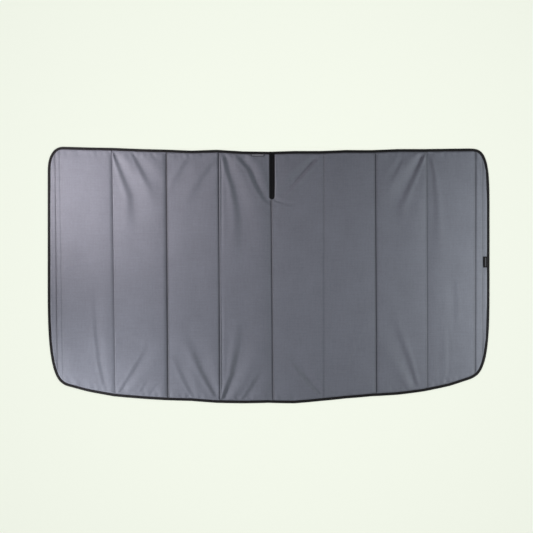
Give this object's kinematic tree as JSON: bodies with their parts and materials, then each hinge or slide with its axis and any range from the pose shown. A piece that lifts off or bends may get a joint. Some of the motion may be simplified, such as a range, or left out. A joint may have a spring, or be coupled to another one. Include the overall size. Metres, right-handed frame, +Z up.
{
  "type": "windscreen frost cover",
  "caption": "Quilted cloth frost cover for a wide windscreen, with sewn fold lines, a bound edge and a bound slit for the mirror stem",
  "frame": {"origin": "centre of the cover's footprint, on the floor it lies on", "axes": "+X along the cover's width, to the right as the picture shows its face; +Y towards the edge with the mirror slit; +Z up out of the face cloth"},
  "size_m": [1.7, 0.9868, 0.0083],
  "materials": {
    "face_fabric": "satin plain weave, charcoal grey",
    "lining_fabric": "matt plain weave, dark grey",
    "padding_foam": "closed-cell foam, off-white",
    "binding_tape": "ribbed woven tape, near black",
    "tag_weave": "woven label tape, black",
    "tab_fabric": "satin plain weave, charcoal grey"
  },
  "bodies": {
    "root": {"face_cloth": "face_fabric", "lining_cloth": "lining_fabric", "core_panel_1": "padding_foam", "core_panel_2": "padding_foam", "core_panel_3": "padding_foam", "core_panel_4": "padding_foam", "core_panel_5": "padding_foam", "core_panel_6": "padding_foam", "core_panel_7": "padding_foam", "core_panel_8": "padding_foam", "edge_binding": "binding_tape", "slit_binding": "binding_tape", "side_tag": "tag_weave", "top_tab": "tab_fabric"}
  },
  "joints": []
}
